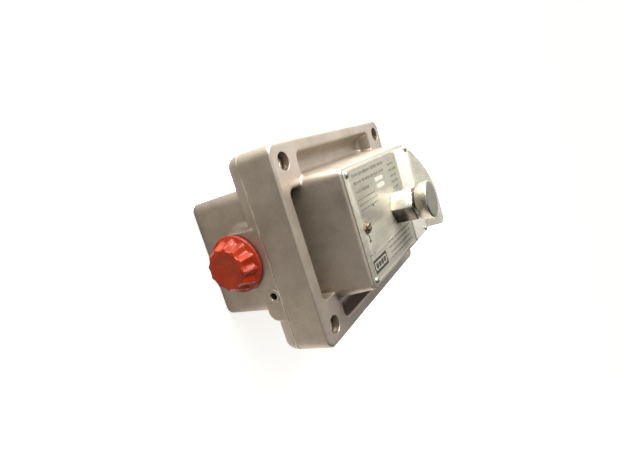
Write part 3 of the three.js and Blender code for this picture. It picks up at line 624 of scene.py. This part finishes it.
def cover_casting():
    edge = 0.8 * MM
    plate = loft("cover_casting", levels(FLANGE, [
        (JOINT_Z + 0.02 * MM, FLASH), (JOINT_Z + 0.15 * MM, FLASH), (JOINT_Z + 0.6 * MM, 0),
        (RIM - edge, 0), (RIM, -edge)]))
    pocket = levels(POCKET, [
        (POCKET_FLOOR, -POCKET_SLOPE - POCKET_FOOT),
        (POCKET_FLOOR + 0.3 * POCKET_FOOT, -POCKET_SLOPE - 0.3 * POCKET_FOOT),
        (POCKET_FLOOR + POCKET_FOOT, 0.6 * POCKET_FOOT - POCKET_SLOPE), (RIM, 0), (RIM + MM, 0)])
    cut(plate, loft("pocket", pocket), slab(*END_POCKET, POCKET_FLOOR, RIM + MM))
    box = []
    steps = 8
    for i in range(steps + 1):
        angle = i / steps * TAU / 4
        z = POCKET_FLOOR + BOX_FILLET * math.sin(angle)
        grow = BOX_FILLET * (1 - math.cos(TAU / 4 - angle)) + BOX_DRAFT * (FRONT - z)
        box.append(rounded_ring(*BOX, z, grow))
    box.insert(0, [(x, y, JOINT_Z + 2 * MM) for x, y, _ in box[0]])
    box += levels(BOX, [(FRONT - 0.8 * MM, 0), (FRONT - 0.25 * MM, -0.2 * MM), (FRONT, -0.6 * MM)])
    join(plate, loft("box", box))
    soften(plate, passes=3, keep=0.35)
    bolts = [(sx * BOLT_X, sy * BOLT_Y) for sx, sy in SIGNS]
    rivets = [(sx * RIVET_X, sy * RIVET_Y) for sx, sy in SIGNS]
    cut(plate, layer(JOINT_Z - 3 * MM, JOINT_Z + 0.01 * MM),
        slab(*HOLLOW, JOINT_Z - MM, FRONT - 4 * MM),
        *[post(x, y, BOLT_R, JOINT_Z - MM, RIM + MM, 32) for x, y in bolts],
        *[post(x, y, COUNTERBORE_R, POCKET_FLOOR, RIM + MM) for x, y in bolts],
        *[post(x, y, 4.6 * MM, RIM - 0.35 * MM, RIM + 0.2 * MM, top=5.15 * MM) for x, y in bolts],
        *[post(x, y, RIVET_R, FRONT - 3 * MM, FRONT + MM, 16) for x, y in rivets],
        post(BUTTON.x, BUTTON.y, BUSHING_R, FRONT - 5 * MM, FRONT + MM),
        post(SETPOINT.x, SETPOINT.y, SETPOINT_R, FRONT - 5 * MM, FRONT + MM, 32))
    return dress(shade(clean(plate), 28), CAST, "housing", "cover")


# ---- conduit plug ------------------------------------------------------------------------------
def plug_piece():
    """Hollow moulded cap: thin flange and domed grip; grip is (radius, share of height, flute depth)."""
    base = HUB_FACE - 0.3 * MM
    flange_x = base - 2 * MM
    tip = PLUG_LOW.x
    grip = [(14.5, 0.00, 0.3), (14.3, 0.07, 1.5), (13.1, 0.45, 2.0), (12.1, 0.82, 1.6), (11.5, 0.95, 1.0),
            (10.6, 1.0, 0.3)]
    profile = [(12.2 * MM, HUB_FACE + 11 * MM), (12.2 * MM, base - 0.2 * MM), (15.6 * MM, base - 0.05 * MM),
               (15.9 * MM, base - 0.4 * MM), (15.9 * MM, flange_x + 0.7 * MM),
               (15.4 * MM, flange_x + 0.15 * MM), (14.8 * MM, flange_x)]
    for r, share, depth in grip:
        profile.append((r * MM, flange_x - 0.1 * MM + (tip - flange_x + 0.1 * MM) * share, depth * MM))
    profile += [(7.3 * MM, tip + 0.02 * MM), (6.5 * MM, tip + 0.2 * MM), (CLOSED, tip + 0.25 * MM),
                (CLOSED, tip + 2 * MM), (7.4 * MM, tip + 2 * MM), (10 * MM, HUB_FACE + 11 * MM)]
    plug = turned("plug_moulding", profile, 192, (0, 0, HUB_Z), "X", scallops=12, closed=True)
    return dress(shade(plug, 32), MATERIALS["red_plastic"], "plug", "conduit_plug")


# ---- face of the box ---------------------------------------------------------------------------
def nameplate_piece():
    sheet = bevelled(welded_copy("nameplate"), 0.15 * MM)
    return dress(sheet, MATERIALS["nameplate"], "housing", "nameplate")


def printed_bars(name, bars, material, lift=0.03 * MM):
    """Flat printed marks on the nameplate: (centre x, centre y, width, height, corner) in millimetres."""
    bm = bmesh.new()
    for x, y, width, height, corner in bars:
        ring = rounded_ring(width / 2 * MM, height / 2 * MM, corner * MM, 0, steps=4)
        low = [bm.verts.new((px + x * MM, py + y * MM, PLATE_TOP - 0.02 * MM)) for px, py, _ in ring]
        high = [bm.verts.new((px + x * MM, py + y * MM, PLATE_TOP + lift)) for px, py, _ in ring]
        for i in range(len(ring)):
            j = (i + 1) % len(ring)
            bm.faces.new((low[i], low[j], high[j], high[i]))
        bm.faces.new(high)
        bm.faces.new(list(reversed(low)))
    return dress(from_bmesh(name, bm), material, "housing")


def word_row(rng, x0, x1, y, height):
    """A printed line from x0 to x1: words made of letter-sized strokes of random width."""
    bars, x = [], x0
    while x < x1 - height:
        for _ in range(rng.randint(3, 7)):
            width = height * rng.uniform(0.22, 0.46)
            tall = height * rng.choice((0.50, 0.62, 0.72))
            bars.append((x + width / 2, y, width, tall, height * 0.06))
            x += width + height * 0.17
        x += height * 0.32
    return bars


def nameplate_print():
    rng = random.Random(7)
    rows = word_row(rng, -43, -1, 26.3, 3.0)
    rows += word_row(rng, -43, -2, 22.2, 2.6)
    rows += word_row(rng, -43, -24, 17.6, 2.8)
    rows += [bar for i in range(3) for bar in word_row(rng, -43, -18, 13.4 - 2.8 * i, 1.3)]
    rows += [bar for i in range(5) for bar in word_row(rng, 11, 22, 23.5 - 3.6 * i, 2.2)]
    rows += [bar for i in range(4) for bar in word_row(rng, -20, 20, -16.5 - 3.0 * i, 1.9)]
    rows += word_row(rng, -48, -37, -15.4, 1.8)
    printed_bars("print_lines", rows, print_ink("grey_ink", (0.150, 0.143, 0.118)))
    fields = [(-8.0 + 0.4 * i, 18.9 - 3.9 * i, 13, 2.5, 1.0) for i in range(2)]
    printed_bars("print_fields", fields, print_ink("pale_ink", (0.58, 0.56, 0.50)), 0.02 * MM)
    dark = [(-36.5, -22.2, 19.5, 7.4, 0.8), (-26, 7.2, 1.8, 1.8, 0.8), (-42, -6.6, 1.0, 3.0, 0.2),
            (-42, -8.6, 2.4, 1.2, 0.3)]
    printed_bars("print_marks", dark, print_ink("dark_ink", (0.040, 0.036, 0.030)), 0.035 * MM)
    light = [(-36.5, -22.2, 16.6, 4.2, 0.6)]
    printed_bars("print_badge", light, print_ink("badge_ink", (0.42, 0.40, 0.34)), 0.045 * MM)
    badge = [(-42.2 + 3.8 * i, -22.2, 3.3, 3.1, 0.3) for i in range(4)]
    printed_bars("print_badge_blocks", badge, print_ink("block_ink", (0.045, 0.040, 0.034)), 0.055 * MM)


def guard_piece():
    guard = bevelled(welded_copy("button_guard"), 0.2 * MM)
    return dress(guard, MATERIALS["clear"], "housing", "button_guard")


# ---- button ------------------------------------------------------------------------------------
def cap_piece():
    """Turned cap with rolled edges, a faintly dished top and a socket for the plunger."""
    r, low, high = (CAP_HIGH.x - CAP_LOW.x) / 2, CAP_LOW.z, CAP_HIGH.z
    socket_r, socket_top = 2.9 * MM, low + 4.2 * MM
    profile = [(socket_r, low), (r - 1.0 * MM, low), (r - 0.35 * MM, low + 0.12 * MM), (r, low + 0.6 * MM)]
    profile += [(r, high - 0.9 * MM), (r - 0.12 * MM, high - 0.45 * MM), (r - 0.45 * MM, high - 0.12 * MM),
                (r - 0.9 * MM, high), (r * 0.62, high - 0.12 * MM), (r * 0.3, high - 0.22 * MM),
                (CLOSED, high - 0.25 * MM), (CLOSED, socket_top), (socket_r, socket_top)]
    cap = turned("cap_turning", profile, 128, (BUTTON.x, BUTTON.y, 0), closed=True)
    return dress(shade(cap, 50), MATERIALS["cap_metal"], "reset_button", "button_cap")


def helix(name, place, r, wire, z0, z1, turns):
    """Coil of round wire round an upright axis; wire is its radius."""
    rings = []
    steps, sides = turns * 40, 10
    for i in range(steps + 1):
        t = i / steps
        angle = TAU * turns * t
        out = Vector((math.cos(angle), math.sin(angle), 0))
        centre = Vector((place.x, place.y, z0 + wire + (z1 - z0 - 2 * wire) * t)) + out * r
        ring = []
        for s in range(sides):
            around = TAU * s / sides
            ring.append(centre + wire * (math.cos(around) * out + Vector((0, 0, math.sin(around)))))
        rings.append(ring)
    return shade(loft(name, rings), 60)


def springs():
    low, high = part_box("return_spring")
    coil = helix("return_coil", BUTTON, r=4.7 * MM, wire=0.45 * MM, z0=low.z, z1=high.z, turns=5)
    dress(coil, STEEL, "housing", "return_spring")
    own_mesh(coil)
    low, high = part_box("range_spring")
    coil = helix("range_coil", SETPOINT, r=3 * MM, wire=0.5 * MM, z0=low.z, z1=high.z, turns=11)
    coil.data.materials.append(STEEL)
    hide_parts("range_spring")
    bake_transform(coil)


# ---- everything else keeps its CAD shape, with eased edges --------------------------------------
def eased_parts():
    done = {"body_housing", "cover", "conduit_plug", "nameplate", "button_guard", "button_cap",
            "return_spring", "range_spring"}
    usual_bevel = 0.12
    wider_bevel = {"button_bushing": 0.3, "cover_seal": 0.4, "inertia_weight": 0.5, "snap_switch": 0.5,
                   "terminal_block": 0.6, "armature": 0.3, "mechanism_plate": 0.3}
    # The cover screws get a steel painted far brighter than plain steel: painted light standing in for
    # light reaching them in the deep counterbores.
    special = {"setpoint_screw": MATERIALS["brass"],
               "cover_screw_": plain_steel("bolt_steel_painted_bright", (0.95, 0.90, 0.80), 0.42)}
    for node, body in BODY_OF.items():
        if node in done:
            continue
        piece = welded_copy(node)
        if node.startswith(("lead_wire", "plunger_seal")):
            shade(piece, 80)
        else:
            bevelled(piece, wider_bevel.get(node, usual_bevel) * MM)
        dress(piece, special.get(node.rstrip("1234"), MATERIALS[SLOT_OF[node]]), body, node)


# ---- stage -------------------------------------------------------------------------------------
def seen_directly(tree):
    """1 for what the camera sees, 0 for light and reflections."""
    return tree.nodes.new("ShaderNodeLightPath").outputs["Is Camera Ray"]


def floor():
    """Pale to the eye; as light, brightest on the +Y side, darkest beneath and dim on the -X side."""
    bm = bmesh.new()
    bmesh.ops.create_grid(bm, x_segments=4, y_segments=4, size=90)
    plane = from_bmesh("floor", bm)
    plane.location.z = -0.5 * MM
    look = Look("floor_paint", roughness=0.95, specular_ior_level=0.0)
    look.set("Base Color", look.mix(look.noise(3, 2), (0.86, 0.86, 0.85), (0.88, 0.88, 0.87)))
    look.set("Emission Color", (1.0, 0.995, 0.98))
    look.set("Emission Strength", 0.72)
    across = look.add("SeparateXYZ", 1, Vector=look.place)
    by_y = look.ramp(look.maths("ADD", across, 0.5),
                     (0.12, (1.1, 1.04, 0.95)), (0.36, (0.92, 0.86, 0.78)), (0.5, (0.25, 0.225, 0.195)),
                     (0.62, (0.56, 0.535, 0.49)), (0.80, (2.5, 2.46, 2.33)))
    by_y.node.color_ramp.interpolation = "EASE"
    along = look.add("SeparateXYZ", 0, Vector=look.place)
    by_x = look.ramp(look.maths("ADD", along, 0.5, True),
                     (0.10, 0.22), (0.19, 0.26), (0.28, 1.0), (0.34, 1.0), (0.39, 1.85))
    glow = look.nodes.new("ShaderNodeEmission")
    look.links.new(look.mix(1.0, by_y, by_x, "MULTIPLY"), glow.inputs[0])
    choose = look.nodes.new("ShaderNodeMixShader")
    look.links.new(seen_directly(look.material.node_tree), choose.inputs[0])
    look.links.new(glow.outputs[0], choose.inputs[1])
    look.links.new(look.shader.outputs[0], choose.inputs[2])
    look.links.new(choose.outputs[0], look.nodes["Material Output"].inputs[0])
    plane.data.materials.append(look.material)


def graded(tree, direction, axis, stops):
    """A brightness that changes with one component (-1 to 1) of the view direction."""
    shift = tree.nodes.new("ShaderNodeMath")
    shift.operation = "MULTIPLY_ADD"
    shift.inputs[1].default_value = shift.inputs[2].default_value = 0.5
    tree.links.new(direction.outputs[axis], shift.inputs[0])
    ramp = tree.nodes.new("ShaderNodeValToRGB")
    tree.links.new(shift.outputs[0], ramp.inputs[0])
    elements = ramp.color_ramp.elements
    while len(elements) < len(stops):
        elements.new(0.5)
    for element, (position, value) in zip(elements, stops):
        element.position = (position + 1) / 2
        element.color = (value, value, value, 1)
    return ramp.outputs[0]


def tinted(tree, blend, factor, a, b):
    node = tree.nodes.new("ShaderNodeMix")
    node.data_type = "RGBA"
    node.blend_type = blend
    for socket, value in ((node.inputs[0], factor), (node.inputs[6], a), (node.inputs[7], b)):
        if isinstance(value, bpy.types.NodeSocket):
            tree.links.new(value, socket)
        else:
            socket.default_value = value
    return node.outputs[2]


def room():
    """Pale behind the object; in reflections, bright over +Y, dim towards the camera and dark over -Y."""
    world = bpy.data.worlds.new("studio")
    bpy.context.scene.world = world
    world.use_nodes = True
    tree = world.node_tree
    split = tree.nodes.new("ShaderNodeSeparateXYZ")
    tree.links.new(tree.nodes.new("ShaderNodeTexCoord").outputs["Generated"], split.inputs[0])
    across = graded(tree, split, 1,
                    [(-1, 0.02), (-0.55, 0.04), (-0.2, 0.5), (0.15, 0.58), (0.5, 1.1), (1, 1.6)])
    depth = graded(tree, split, 0, [(-1, 0.32), (-0.75, 0.42), (-0.35, 1.0), (1, 1.0)])
    height = graded(tree, split, 2, [(-1, 1.0), (0.5, 1.0), (0.8, 0.6), (1, 0.5)])
    light = tinted(tree, "MULTIPLY", 1.0, tinted(tree, "MULTIPLY", 1.0, across, depth), height)
    shown = tinted(tree, "MIX", seen_directly(tree), light, (1.0, 1.0, 0.99, 1))
    tree.links.new(shown, tree.nodes["Background"].inputs[0])


def area_light(name, place, aim, size, power, colour=(1, 1, 1)):
    data = bpy.data.lights.new(name, "AREA")
    data.shape = "RECTANGLE"
    data.size, data.size_y = size
    data.energy = power
    data.color = colour
    lamp = bpy.data.objects.new(name, data)
    bpy.context.scene.collection.objects.link(lamp)
    lamp.location = place
    lamp.rotation_euler = (Vector(aim) - Vector(place)).to_track_quat("-Z", "Y").to_euler()
    lamp.visible_camera = False


def studio():
    centre = (0, 0, 0.06)
    warm = (1.0, 0.965, 0.90)
    area_light("key_above", (0.02, 0.56, 0.68), centre, (0.6, 0.4), 12.3, warm)
    area_light("window", (-0.12, 0.55, 0.20), (0, 0, 0.05), (0.6, 0.22), 2.5, warm)
    area_light("fill_camera", (-0.75, -0.05, 0.55), centre, (0.5, 0.5), 0.7, warm)
    area_light("sheen_right", (0.95, 0.15, 0.62), centre, (0.35, 0.5), 0.4, warm)
    room()
    bpy.context.scene.view_settings.view_transform = "Standard"


def camera():
    """Looks at the left and front of the switch with the nameplate's up axis near the top of the frame."""
    data = bpy.data.cameras.new("camera")
    data.sensor_width = 36
    data.lens = 25.6
    data.clip_start = 0.01
    eye = bpy.data.objects.new("camera", data)
    bpy.context.scene.collection.objects.link(eye)
    place = Vector((-247.7, 41.4, 192.8)) * MM
    forward = Vector((0.8387, -0.1636, -0.5195)).normalized()
    up_hint = Vector((0.2898, 0.9417, 0.1713))
    right = forward.cross(up_hint).normalized()
    up = right.cross(forward)
    turn = Matrix((right, up, -forward)).transposed()
    eye.matrix_world = Matrix.Translation(place) @ turn.to_4x4()
    bpy.context.scene.camera = eye


body_casting()
cover_casting()
plug_piece()
nameplate_piece()
nameplate_print()
guard_piece()
cap_piece()
springs()
eased_parts()
floor()
studio()
camera()
